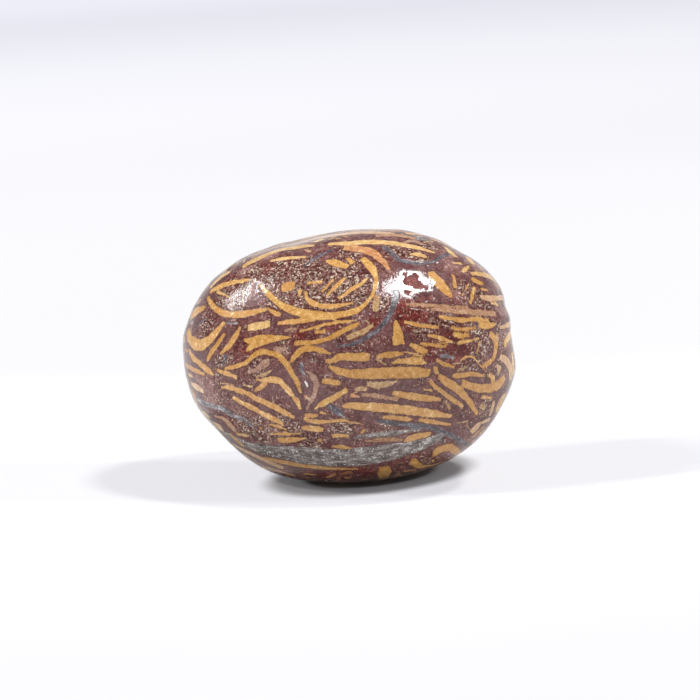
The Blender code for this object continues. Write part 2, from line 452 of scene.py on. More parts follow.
        [(-2.1, -10.8, .2), (-1.3, -10.4, .24)],
        [(.3, -5.8, .2), (1.3, -6.0, .14)],
        [(4.8, -10.2, .18), (6, -10.05, .2)],
    ],
    "pale": [
        [(-6.2, 9.98, .2), (-4.5, 10.42, .42), (-2.7, 10.86, .55), (-.9, 11.13, .55),
         (.9, 11.3, .52), (2.7, 11.3, .45), (4.0, 11.22, .2)],
        [(11.7, 5.5, .4), (12.8, 5.35, .52), (13.8, 5.4, .5)],
        [(10, 9.6, .3), (10.8, 9.1, .4), (11.6, 8.6, .3)],
        [(13.5, 2.75, .3), (14.0, 2.9, .45), (14.4, 3.1, .4)],
        [(13.5, .15, .5), (14.1, -.3, .6), (14.5, -1.1, .52), (14.5, -2.0, .25)],
        [(13.2, -.6, .3), (13.45, -1.0, .32), (13.35, -1.35, .2)],
        [(12.95, -3.9, .15), (12.8, -4.6, .3), (12.6, -5.2, .15)],
        [(10.9, -6.75, .4), (11.3, -6.35, .5), (11.65, -5.95, .25)],
        [(11.5, -5.9, .18), (12.6, -5.5, .28)],
        [(-14.3, -2.3, .3), (-13.8, -2.6, .5), (-13.2, -3.0, .3)],
        [(-12.2, -6.0, .4), (-11.5, -6.35, .5)],
        [(-10.6, -7.7, .2), (-9, -8.6, .3), (-7.5, -9.3, .34), (-6, -9.95, .28)],
    ],
    "olive": [
        [(1.3, 3.45, .14), (1.75, 3.1, .2)],
        [(-.3, 1.8, .4), (.6, 2.15, .56), (1.4, 2.5, .45), (2.1, 3.0, .2)],
        [(2.45, 5.6, .3), (2.3, 4.8, .6), (2.3, 4.2, .45)],
        [(1.5, -2.3, .3), (2.4, -2.45, .6), (3.2, -2.38, .5), (4.2, -2.12, .12)],
        [(.45, -2.95, .2), (1.0, -2.75, .42), (1.55, -2.85, .2)],
        [(5.7, -2.5, .08), (6.6, -2.25, .08)],
        [(2.4, -.15, .12), (3.3, -.6, .12)],
        [(8.6, -3.9, .25), (9.0, -4.6, .28)],
        [(9.7, -1.05, .12), (10.3, -.92, .15), (10.8, -.5, .1)],
        [(9.4, -.5, .12), (10, -.45, .12)],
        [(-8.5, -1.65, .12), (-7.5, -1.38, .2), (-6.9, -1.0, .12)],
        [(-11.7, -2.2, .1), (-10.5, -2.4, .12)],
        [(-9.7, -2.42, .18), (-8.8, -2.6, .14)],
        [(9.6, -5.85, .1), (10.6, -5.7, .1)],
        [(10.5, -6.0, .12), (10.8, -6.5, .1)],
        [(11.7, -4.3, .4), (12.2, -4.55, .5)],
    ],
    "blush": [
        [(-4, -1.2, .25), (-3.5, -1.45, .38), (-3.15, -2.0, .46), (-3.08, -2.6, .46), (-3.3, -3.4, .4),
         (-3.6, -4.0, .34), (-3.9, -4.6, .15)],
        [(-9.2, -1.3, .3), (-8.35, -1.0, .45), (-7.75, -.5, .7), (-7.25, -.3, .45)],
        [(-6.8, .9, .3), (-6.2, .75, .5), (-5.6, .9, .3)],
        [(-5.9, 2.45, .2), (-5.2, 2.6, .3), (-4.75, 2.6, .2)],
        [(4.4, 10.2, .2), (5.6, 10.55, .3), (6.6, 10.2, .2)],
    ],
}

# The blue-grey veins and the big grey lens low on the front, in the same way.
frontVeins = {
    "slate": [
        [(3.1, 9.95, .3), (4, 9.2, .4), (4.6, 8.75, .36), (5.5, 8.6, .34), (6.5, 8.5, .26),
         (7.5, 8.7, .2), (8.2, 9.1, .34), (9, 9.4, .3)],
        [(4.2, 5.9, .52), (4.0, 5.0, .52), (3.65, 4.1, .48), (3.1, 3.2, .44), (2.4, 2.45, .4),
         (1.55, 1.85, .34), (.4, 1.3, .28), (-1.2, 1.0, .14)],
        [(-4.1, 8.3, .16), (-2.9, 9.1, .28), (-1.6, 9.75, .2)],
        [(-14.0, 2.9, .12), (-13.4, 3.3, .2), (-12.8, 3.5, .12)],
        [(-1.9, -4.3, .45), (-1.3, -4.7, .6), (-.8, -5.1, .5)],
        [(2.5, -5.65, .3), (4, -5.9, .4), (5.5, -6.1, .42), (7, -6.2, .36), (8.5, -6.7, .45),
         (9.6, -7.25, .45), (10.9, -7.85, .4)],
        [(7.8, -6.5, .25), (8.15, -7.1, .3), (8.3, -7.7, .2)],
        [(-11.2, .2, .25), (-11.4, -.6, .2)],
    ],
    "mist": [
        [(-14.6, 3.6, .2), (-14.2, 3.2, .3)],
        [(-11.2, 3.3, .15), (-10.7, 3.15, .25), (-10.2, 3.2, .15)],
        [(-4.4, -.5, .3), (-4.35, -1.0, .4), (-4.2, -1.4, .28)],
        [(-13.6, -3.9, .5), (-12.5, -4.3, .42), (-11.5, -4.6, .46), (-10.5, -5.2, .36),
         (-9.5, -5.6, .28), (-8.7, -6.2, .16)],
        [(8.2, .2, .3), (8.7, .15, .34), (9.3, .05, .22)],
    ],
    "ash": [
        [(-11.3, -6.8, .3), (-10, -7.5, .5), (-9, -7.9, .6), (-7.5, -8.35, .95), (-6, -8.55, 1.2),
         (-4, -8.85, 1.5), (-2, -9.05, 1.55), (0, -9.0, 1.6), (2, -8.8, 1.6), (4, -8.45, 1.4),
         (6, -7.95, 1.0), (7.5, -7.4, .7), (8.3, -6.9, .3)],
        [(.4, -7.2, .2), (2, -6.95, .4), (3.5, -6.85, .5), (5, -6.6, .3), (6.3, -6.5, .18)],
        [(4.9, 11.0, .4), (6.2, 10.8, .55), (7.2, 10.55, .3)],
    ],
}


# markings grown over the rest of the pebble, in bundles like those of the front; turns are radians
# and bends are radians for each millimetre

grownChips = {
    "seed": 11,
    "frontFacing": .30,      # how squarely a spot may face the camera and still be grown on
    "drift": (.9, .25, .15),  # the way the bundles mostly run
    "swirl": .85,            # how strongly they bend away from it
    "swirlSize": 9.0,
    "waves": 6,              # the bundles bend by so many waves added up
    "usual": (1.7, 1.6),     # the usual lengths of a random wave and a random pull, divided out
    "pull": .06,             # how fast a chip turns with its bundle
    "seedMargin": .06,       # seeds lie this much further round than a chip may reach
    "hooked": (.15, 3),      # this share of the chips bends so many times more
    "turns": (.75, .25, 1.2),  # the share that keeps to its bundle, its scatter, and the others'
    "shortest": 1.2,         # the least length, in widths
    "shapes": {"blunt": .55, "lens": .25, "wedge": .2},  # shares of the chips
    "ends": {"blunt": .8, "lens": .25, "wedge": .3},     # how wide they end, in full widths
    "bluntEnd": 6,           # a blunt chip narrows over the last sixth
    "wedgeCurve": .7,
    "wobble": .1,
    "wobbleTurns": (4, 14),
    "step": .25,
    "spotsAtMost": 60000,
    "tones": (("golden", .26), ("mustard", .40), ("straw", .08), ("tan", .09), ("rust", .05),
              ("umber", .03), ("pale", .03), ("olive", .04), ("blush", .02)),
    "sizes": (
        {"tries": 240, "width": (.6, .95), "length": (3.5, 11), "gap": .16, "bend": .06},
        {"tries": 700, "width": (.38, .6), "length": (2, 7.5), "gap": .13, "bend": .12},
        {"tries": 1700, "width": (.24, .4), "length": (1, 5), "gap": .1, "bend": .22},
        {"tries": 900, "width": (.12, .2), "length": (.7, 2.4), "gap": .08, "bend": .35},
        {"tries": 900, "width": (.26, .46), "length": (1.2, 4), "gap": .2, "bend": .2,
         "frontFacing": .47},
    ),
}

grownVeins = {
    "seed": 5,
    "frontFacing": .2,
    "seedFacing": .1,
    "turn": .5,     # the scatter of the ways they set out
    "bend": .06,
    "fewestSpots": 8,
    "ends": .35,    # how wide they end, in full widths
    "uneven": .2,
    "unevenTurns": 17,
    "slate": {"count": 12, "width": (.2, .42), "length": (6, 15)},
    "ash": {"count": 3, "width": (1.0, 1.6), "length": (6, 11)},
}

chipTones = ("golden", "mustard", "straw", "tan", "rust", "umber", "pale", "olive", "blush", "chalkAndPaintedGleam")
toneValues = {name: place / (len(chipTones) - 1) for place, name in enumerate(chipTones)}
toneValues.update({"slate": 0.0, "mist": .5, "ash": 1.0})


# A Catmull-Rom run through points in space that carry their widths, as closely spaced points.
def easeRun(points, step=.2):
    points = np.array(points, float)
    padded = np.vstack([2 * points[0] - points[1], points, 2 * points[-1] - points[-2]])
    run = []
    for before, start, end, after in zip(padded, padded[1:], padded[2:], padded[3:]):
        pieces = max(2, math.ceil(np.linalg.norm(end[:-1] - start[:-1]) / step))
        for t in np.arange(pieces) / pieces:
            run.append(.5 * (2 * start + (end - before) * t
                             + (2 * before - 5 * start + 4 * end - after) * t ** 2
                             + (3 * start - before - 3 * end + after) * t ** 3))
    run.append(points[-1])
    return np.array(run)


class Surface:
    def __init__(self, mesh):
        self.points = readPoints(mesh)
        self.normals = readNormals(mesh)
        self.tree = BVHTree.FromPolygons(self.points.tolist(), readCorners(mesh).tolist())
        self.middle = Vector((self.points.min(0) + self.points.max(0)) / 2)

    # where a line of sight meets the skin, or passes nearest to it
    def underSight(self, eye, right, up):
        target = eye["aim"] / mm + eye["right"] * right + eye["up"] * (up - view["middleBelowAim"])
        start = eye["place"] / mm
        ray = (target - start).normalized()
        hit = self.tree.ray_cast(start, ray)[0]
        if hit is None:
            hit = self.tree.find_nearest(start + ray * (self.middle - start).dot(ray))[0]
        return hit


# Runs are laid where the camera sees them, and a run on a slanting stretch is made wider there,
# so that it looks as wide as it was drawn.
def layFront(surface, eye, groups):
    laid = []
    picture = np.array([eye["right"], eye["up"]])
    for tone, runs in groups.items():
        for points in runs:
            run = easeRun([(*surface.underSight(eye, x, y), width) for x, y, width in points])
            nearest = [surface.tree.find_nearest(Vector(spot))[:2] for spot in run[:, :3]]
            spots, normals = np.array(nearest).transpose(1, 0, 2)
            aside = unit(np.cross(normals, np.gradient(spots, axis=0)))
            way = unit(np.gradient(spots @ picture.T, axis=0))
            # the share of a run's width that the camera sees, square to the run
            shown = np.abs((aside @ picture.T * way[:, ::-1]) @ (1, -1))
            stretch = 1 / np.clip(shown, view["leastShown"], 1)
            laid.append({"spots": spots, "halves": run[:, 3] / 2 * stretch, "tone": toneValues[tone]})
    return laid


class Field:
    def __init__(self, rng):
        count = grownChips["waves"]
        usualWave, usualPull = grownChips["usual"]
        self.waves = rng.normal(size=(count, 3)) * 2 * math.pi / grownChips["swirlSize"] / usualWave
        self.phases = rng.uniform(0, 2 * math.pi, count)
        self.pulls = rng.normal(size=(count, 3)) * grownChips["swirl"] / usualPull
        self.drift = np.array(grownChips["drift"])

    def heading(self, spot, normal):
        pull = self.drift + np.sin(self.waves @ spot + self.phases) @ self.pulls
        return unit(pull - (pull @ normal) * normal)


# Walks over the surface from a seed, both ways, until the wanted length or another marking.
def growRun(surface, seed, heading, field, length, half, gap, bend, laid, allowed):
    step = grownChips["step"]
    found, normal, _, _ = surface.tree.find_nearest(Vector(seed))
    arms = []
    for way in (1, -1):
        spot = np.array(found)
        up = np.array(normal)
        going = heading * way
        spots = []
        for _ in range(int(length / 2 / step)):
            aside = np.cross(up, going)
            pull = field.heading(spot, up) * way * grownChips["pull"]
            going = unit(going + aside * bend * step * way + pull)
            nextSpot, nextUp, _, _ = surface.tree.find_nearest(Vector(spot + going * step))
            spot = np.array(nextSpot)
            up = np.array(nextUp)
            going = unit(going - (going @ up) * up)
            if not allowed(up) or tooClose(spot, half + gap, laid):
                break
            spots.append(spot)
        arms.append(spots)
    return np.array(arms[1][::-1] + [np.array(found)] + arms[0])


def tooClose(spot, room, laid):
    spots, halves, count = laid["spots"], laid["halves"], laid["count"]
    apart = spots[:count] - spot
    return bool(((apart * apart).sum(1) < (halves[:count] + room) ** 2).any())


def remember(laid, spots, halves):
    count = laid["count"]
    laid["spots"][count:count + len(spots)] = spots
    laid["halves"][count:count + len(spots)] = halves
    laid["count"] = count + len(spots)


def widthAlong(rng, spots, half):
    along = np.linspace(0, 1, len(spots))
    shape = rng.choice(list(grownChips["shapes"]), p=list(grownChips["shapes"].values()))
    if shape == "blunt":
        profile = np.minimum(1, np.minimum(along, 1 - along) * grownChips["bluntEnd"])
    elif shape == "lens":
        profile = np.sqrt(np.clip(4 * along * (1 - along), 0, 1))
    else:
        profile = along ** grownChips["wedgeCurve"]
    end = grownChips["ends"][shape]
    turns = along * rng.uniform(*grownChips["wobbleTurns"]) + rng.uniform(0, 6)
    return half * (end + (1 - end) * profile) * (1 + grownChips["wobble"] * np.sin(turns))


# The bundle's heading at a seed, turned aside by an angle in radians.
def headOff(surface, seed, field, turn):
    normal = np.array(surface.tree.find_nearest(Vector(seed))[1])
    heading = field.heading(seed, normal)
    return unit(heading * math.cos(turn) + np.cross(normal, heading) * math.sin(turn))


def growChips(surface, eye, front):
    rng = np.random.default_rng(grownChips["seed"])
    field = Field(rng)
    towards = np.array(eye["towards"])
    most = grownChips["spotsAtMost"]
    laid = {"spots": np.zeros((most, 3)), "halves": np.zeros(most), "count": 0}
    for run in front:
        remember(laid, run["spots"], run["halves"])
    names, shares = zip(*grownChips["tones"])
    hookShare, hookBend = grownChips["hooked"]
    keptShare, keptTurn, strayTurn = grownChips["turns"]
    grown = []
    for size in grownChips["sizes"]:
        facing = size.get("frontFacing", grownChips["frontFacing"])
        openPoints = np.flatnonzero(surface.normals @ towards < facing - grownChips["seedMargin"])
        for _ in range(size["tries"]):
            seed = surface.points[rng.choice(openPoints)]
            half = rng.uniform(*size["width"]) / 2
            length = math.exp(rng.uniform(*np.log(size["length"])))
            bend = rng.normal() * size["bend"] * (hookBend if rng.random() < hookShare else 1)
            turn = rng.normal() * (keptTurn if rng.random() < keptShare else strayTurn)
            if tooClose(seed, half + size["gap"], laid):
                continue
            heading = headOff(surface, seed, field, turn)
            spots = growRun(surface, seed, heading, field, length, half, size["gap"], bend, laid,
                            lambda up: up @ towards < facing)
            if len(spots) < max(3, half * 2 / grownChips["step"] * grownChips["shortest"]):
                continue
            halves = widthAlong(rng, spots, half)
            remember(laid, spots, halves)
            tone = toneValues[rng.choice(names, p=shares)]
            grown.append({"spots": spots, "halves": halves, "tone": tone})
    return grown


def growVeins(surface, eye):
    rng = np.random.default_rng(grownVeins["seed"])
    field = Field(rng)
    towards = np.array(eye["towards"])
    nothing = {"spots": np.zeros((1, 3)), "halves": np.zeros(1), "count": 0}
    openPoints = np.flatnonzero(surface.normals @ towards < grownVeins["seedFacing"])
    grown = []
    for kind in ("slate", "ash"):
        size = grownVeins[kind]
        for _ in range(size["count"]):
            seed = surface.points[rng.choice(openPoints)]
            heading = headOff(surface, seed, field, rng.normal() * grownVeins["turn"])
            spots = growRun(surface, seed, heading, field, rng.uniform(*size["length"]), 0, 0,
                            rng.normal() * grownVeins["bend"], nothing,
                            lambda up: up @ towards < grownVeins["frontFacing"])
            if len(spots) < grownVeins["fewestSpots"]:
                continue
            along = np.linspace(0, 1, len(spots))
            swell = grownVeins["ends"] + (1 - grownVeins["ends"]) * np.sqrt(4 * along * (1 - along))
            swell += grownVeins["uneven"] * np.sin(along * grownVeins["unevenTurns"] + len(grown))
            halves = rng.uniform(*size["width"]) / 2 * swell
            grown.append({"spots": spots, "halves": halves, "tone": toneValues[kind]})
    return grown


# What each point of the skin knows of the marking nearest to it: how far outside its edge it lies
# (inside is negative), how far aside of its middle line, its half width, how far in from its end (or,
# where it isn't blunt, how far along it), its tone and a number of its own.
def measureRuns(surface, runs, seed, blunt=True, reach=.6):
    rng = np.random.default_rng(seed)
    count = len(surface.points)
    edge = np.full(count, reach)
    across = np.zeros((count, 3))
    across[:, 0] = reach
    nature = np.zeros((count, 2))
    order = np.argsort(surface.points[:, 0])
    ordered = surface.points[order, 0]
    for run in runs:
        spots, halves = run["spots"], run["halves"]
        own = rng.random()
        lowest = spots.min(0) - halves.max() - reach
        highest = spots.max(0) + halves.max() + reach
        near = order[np.searchsorted(ordered, lowest[0]):np.searchsorted(ordered, highest[0])]
        inside = ((surface.points[near] > lowest) & (surface.points[near] < highest)).all(1)
        near = near[inside]
        if not len(near):
            continue
        steps = spots[1:] - spots[:-1]
        lengths = np.maximum(np.linalg.norm(steps, axis=1), 1e-6)
        ways = steps / lengths[:, None]
        starts = np.concatenate([[0], np.cumsum(lengths)])
        fromStart = surface.points[near][:, None, :] - spots[None, :-1, :]
        along = (fromStart * ways).sum(2)
        held = np.clip(along, 0, lengths)
        apart = np.linalg.norm(fromStart - held[..., None] * ways, axis=2)
        half = halves[:-1] + (halves[1:] - halves[:-1]) * held / lengths
        pick = (apart - half).argmin(1)
        rows = np.arange(len(near))
        last = len(lengths) - 1
        free = np.where((pick == 0) & (along[rows, pick] < 0), along[rows, pick], held[rows, pick])
        free = np.where((pick == last) & (along[rows, pick] > lengths[last]), along[rows, pick], free)
        beyond = free != held[rows, pick]
        side = unit(np.cross(surface.normals[near], ways[pick]))
        aside = (fromStart[rows, pick] * side).sum(1)
        straight = np.where(beyond, np.abs(aside), apart[rows, pick])
        inward = np.minimum(starts[pick] + free, starts[-1] - starts[pick] - free)
        width = half[rows, pick]
        if blunt:
            ownEdge = np.maximum(straight - width, -inward)
        else:
            ownEdge = apart[rows, pick] - width
        closer = ownEdge < edge[near]
        mine = near[closer]
        edge[mine] = ownEdge[closer]
        across[mine, 0] = (np.sign(aside) * straight)[closer]
        across[mine, 1] = width[closer]
        across[mine, 2] = (inward if blunt else starts[pick] + free)[closer]
        nature[mine] = (run["tone"], own)
    return edge, across, nature


# soft regions: where the ground is salt-and-pepper, where it is deepest red, where it is pink (round the
# brow a painted sheen), where the polish is dull

frontRegions = {
    # right, up, radius, strength
    "speckle": [
        (-8.6, 7.6, 1.3, .8), (-6.3, 7.6, 1.6, 1), (-4.3, 7.9, 1.6, 1), (-2.6, 7.2, 1.6, 1),
        (-.5, 7.8, 1.3, .9), (-6.2, 5.9, 1.2, 1), (-3.6, 5.6, 1.6, 1), (-1.8, 5.6, 1.5, 1),
        (.3, 5.6, 1.2, 1), (1.3, 6.7, 1.0, .8), (-3.2, 4.3, .9, .8), (0, 9.4, 1.2, .8),
        (-12.9, 2.9, 1.0, .9), (-11.6, 4.9, 1.0, .8), (-10.2, 5.8, 1.4, .95),
        (-10.4, 4.7, 1.1, .9), (-6.9, 5.0, .8, .6),
        (-11.6, -.4, 1.0, .8), (-8, -6.6, 1.6, .7), (-9.5, -5.9, 1.4, .6), (-11.5, -3.4, 1.4, .35),
        (-6.4, -5.2, .9, .6), (-3.6, -7.6, 1.4, .6), (-.8, -6.5, 1.0, .9), (-5.4, -6.2, 1.2, .6),
        (2.7, 4.9, 1.0, .7), (4.5, 9.8, 1.4, .8), (7, 10.1, 1.0, .8), (6.4, 9.0, 1.0, .8),
        (10.2, 6.3, 1.1, .7), (11.6, 5.6, .8, .9), (12.1, 4.6, .9, .8), (11.4, 2.6, .9, .9),
        (12.1, 1.2, .9, .8), (6.2, 2.4, .8, .9), (7.6, 3.3, 1.0, .5), (9.0, 3.3, .8, .6),
        (11.4, -.2, .9, .7), (12.3, -1.1, .7, .8), (13.4, -.9, .8, .8), (12.3, -4.5, .9, .9),
        (10.6, -6.1, .7, .5), (6.4, -9.3, 1.4, .5), (1.5, .9, 1.6, .3), (13.6, 2.2, 1.0, .5),
        (-5.9, 1.0, .7, .7), (-8, -.8, 1.0, .5), (10.7, -.7, .8, .5), (3.2, -6.2, 1.2, .4),
    ],
    "deep": [
        (5.6, 4.0, 1.5, 1), (9.6, .8, 1.6, 1), (7.2, .5, .9, 1), (-8.8, 1.0, 1.0, .8),
        (-4.6, 2.1, .8, .6), (-1.2, 2.6, .9, .6), (-7.5, 8.1, 1.2, .6), (-5.9, 8.6, 1.2, .6),
        (5.4, 6.9, .9, 1), (2.2, 3.1, .9, .7), (-2.1, -10.4, 2.2, .8), (1.3, -10.4, 1.4, .8),
        (-9.4, -6.0, 1.0, .4), (-4.4, 8.7, .8, .5), (9.3, 8.3, 1.4, .35), (5.9, 3.2, .8, .6),
    ],
    # lighter pink places; round the polished brow at the upper right of the front they paint a broad sheen
    "rosyAndSheen": [
        (9.4, 8.3, 1.5, .8), (8.2, 9.6, 1.0, .6), (11.6, 8.0, 1.2, .6), (13.9, 1.8, 1.1, .8),
        (13.4, 4.6, 1.0, .7), (13.9, -1.8, .9, .6), (-12.6, -3.2, 1.6, .6), (-13.6, -1.8, .8, .6),
        (-9.6, -5.6, 1.4, .6), (-7.2, 9.2, 1.0, .8), (-9.4, 7.8, .9, .7), (-6.6, -6.7, 1.6, .6),
        (-13.4, 2.9, .7, .5), (8.8, 4.0, 1.0, .5), (9.8, 6.2, 1.1, .6), (3.2, -6.0, 1.0, .4),
    ],
    "dull": [
        (5.3, 7.0, .62, 1), (6.1, 6.6, .58, 1), (5.9, 7.4, .4, .8), (6.6, 5.45, .42, .9),
        (7.3, 5.5, .38, .8), (4.9, 7.6, .3, .7), (5.2, 5.9, .35, .7), (6.9, 6.3, .3, .7),
        (8.3, .1, .6, .7),
    ],
}

grownRegions = {
    "seed": 23,
    "counts": {"speckle": 34, "deep": 16, "rosyAndSheen": 22, "dull": 7},
    "size": (.8, 2.0),
    "dullSize": .35,  # the dull places are so much smaller
    "strength": (.5, 1),
    "frontFacing": .2,
    "falloff": 1.5,   # higher gives every region a firmer edge
}


def shadeRegions(surface, eye):
    rng = np.random.default_rng(grownRegions["seed"])
    towards = np.array(eye["towards"])
    hidden = np.flatnonzero(surface.normals @ towards < grownRegions["frontFacing"])
    shades = []
    for kind, patches in frontRegions.items():
        clear = np.ones(len(surface.points))
        places = [(np.array(surface.underSight(eye, x, y)), radius, strength)
                  for x, y, radius, strength in patches]
        for _ in range(grownRegions["counts"][kind]):
            smaller = grownRegions["dullSize"] if kind == "dull" else 1
            radius = rng.uniform(*grownRegions["size"]) * smaller
            spot = surface.points[rng.choice(hidden)]
            places.append((spot, radius, rng.uniform(*grownRegions["strength"])))
        for place, radius, strength in places:
            apart = ((surface.points - place) ** 2).sum(1)
            clear *= 1 - strength * np.exp(-(apart / radius ** 2) ** grownRegions["falloff"])
        shades.append(1 - clear)
    speckle, deep, rosyAndSheen, dull = shades
    return np.stack([speckle, deep - rosyAndSheen, dull], 1)


# shared shader effects, each a node group

def mapped(tree, value, low, high, start=0.0, end=1.0, smooth=True):
    node = addNode(tree, "ShaderNodeMapRange", interpolation_type="SMOOTHSTEP" if smooth else "LINEAR")
    for name, given in (("Value", value), ("From Min", low), ("From Max", high),
                        ("To Min", start), ("To Max", end)):
        plug(tree, node.inputs[name], given)
    return node.outputs["Result"]


def blended(tree, amount, under, over, blend="MIX"):
    node = addNode(tree, "ShaderNodeMix", data_type="RGBA", blend_type=blend)
    plug(tree, node.inputs[0], amount)
    plug(tree, node.inputs[6], under)
    plug(tree, node.inputs[7], over)
    return node.outputs[2]


def blendedValue(tree, amount, under, over):
    node = addNode(tree, "ShaderNodeMix", data_type="FLOAT")
    plug(tree, node.inputs[0], amount)
    plug(tree, node.inputs[2], under)
    plug(tree, node.inputs[3], over)
    return node.outputs[0]


def noise(tree, place, size, detail=2.0, roughness=.5, distortion=0.0, output="Fac"):
    node = addNode(tree, "ShaderNodeTexNoise")
    plug(tree, node.inputs["Vector"], place)
    node.inputs["Scale"].default_value = 1 / size
    node.inputs["Detail"].default_value = detail
    node.inputs["Roughness"].default_value = roughness
    node.inputs["Distortion"].default_value = distortion
    return node.outputs[output]


def ramp(tree, value, stops, interpolation="LINEAR"):
    node = addNode(tree, "ShaderNodeValToRGB")
    node.color_ramp.interpolation = interpolation
    while len(node.color_ramp.elements) < len(stops):
        node.color_ramp.elements.new(1.0)
    for element, (position, colour) in zip(node.color_ramp.elements, stops):
        element.position = position
        element.color = (*colour, 1)
    plug(tree, node.inputs["Fac"], value)
    return node.outputs["Color"]


def useGroup(tree, group, **values):
    node = addNode(tree, "ShaderNodeGroup", node_tree=group)
    for name, value in values.items():
        plug(tree, node.inputs[name], value)
    return node.outputs


# A soft ragged mask of everything within an edge that is given in millimetres.
def buildRaggedMask():
    tree = bpy.data.node_groups.new("raggedMask", "ShaderNodeTree")
    addSocket(tree, "place", "NodeSocketVector")
    addSocket(tree, "edge", "NodeSocketFloat", 0.0)
    addSocket(tree, "size", "NodeSocketFloat", .4)
    addSocket(tree, "raggedness", "NodeSocketFloat", .03)
    addSocket(tree, "softness", "NodeSocketFloat", .03)
    addSocket(tree, "mask", "NodeSocketFloat", into="OUTPUT")
    given = addNode(tree, "NodeGroupInput").outputs
    scaled = vectorSums(tree, "SCALE", given["place"], scale=sums(tree, "DIVIDE", 1.0, given["size"]))
    wander = sums(tree, "SUBTRACT", noise(tree, scaled, 1, detail=2), .5)
    swing = sums(tree, "MULTIPLY", wander, 3.0)  # the noise keeps to the middle third of its range
    moved = sums(tree, "MULTIPLY_ADD", swing, given["raggedness"], given["edge"])
    mask = mapped(tree, moved, given["softness"], sums(tree, "MULTIPLY", given["softness"], -1.0))
    plug(tree, addNode(tree, "NodeGroupOutput").inputs["mask"], mask)
    return tree


grainShape = {
    "warpSize": .5,
    "drawn": ((1.7, .9, .75), (.75, 1.0, 1.6)),  # squeezed so many times along X, Y and Z
    "drawnPatch": .6,                            # the size of the patches that are drawn alike
    "borderWidth": .14,
}


# Crystal grains, drawn out two ways and mixed: a number of its own for each grain, a second one,
# and how deep inside its border a spot lies.
def buildGrains():
    tree = bpy.data.node_groups.new("grains", "ShaderNodeTree")
    addSocket(tree, "place", "NodeSocketVector")
    addSocket(tree, "size", "NodeSocketFloat", .16)
    addSocket(tree, "shear", "NodeSocketFloat", .1)
    addSocket(tree, "choice", "NodeSocketFloat", into="OUTPUT")
    addSocket(tree, "second", "NodeSocketFloat", into="OUTPUT")
    addSocket(tree, "border", "NodeSocketFloat", into="OUTPUT")
    given = addNode(tree, "NodeGroupInput").outputs
    warp = noise(tree, given["place"], grainShape["warpSize"], detail=1, output="Color")
    warp = vectorSums(tree, "SUBTRACT", warp, (.5, .5, .5))
    warped = vectorSums(tree, "ADD", given["place"], vectorSums(tree, "SCALE", warp, scale=given["shear"]))
    found = []
    for stretch in grainShape["drawn"]:
        drawn = vectorSums(tree, "MULTIPLY", warped, stretch)
        sides = []
        for feature in ("F1", "DISTANCE_TO_EDGE"):
            cells = addNode(tree, "ShaderNodeTexVoronoi", feature=feature)
            plug(tree, cells.inputs["Vector"], drawn)
            plug(tree, cells.inputs["Scale"], sums(tree, "DIVIDE", 1.0, given["size"]))
            sides.append(cells)
        parts = addNode(tree, "ShaderNodeSeparateColor")
        plug(tree, parts.inputs[0], sides[0].outputs["Color"])
        found.append((parts.outputs[0], parts.outputs[1],
                      mapped(tree, sides[1].outputs["Distance"], 0.0, grainShape["borderWidth"])))
    which = sums(tree, "GREATER_THAN", noise(tree, given["place"], grainShape["drawnPatch"], detail=1), .5)
    out = addNode(tree, "NodeGroupOutput").inputs
    for name, first, other in zip(("choice", "second", "border"), *found):
        plug(tree, out[name], blendedValue(tree, which, first, other))
    return tree


# the jasper itself; colours are linear

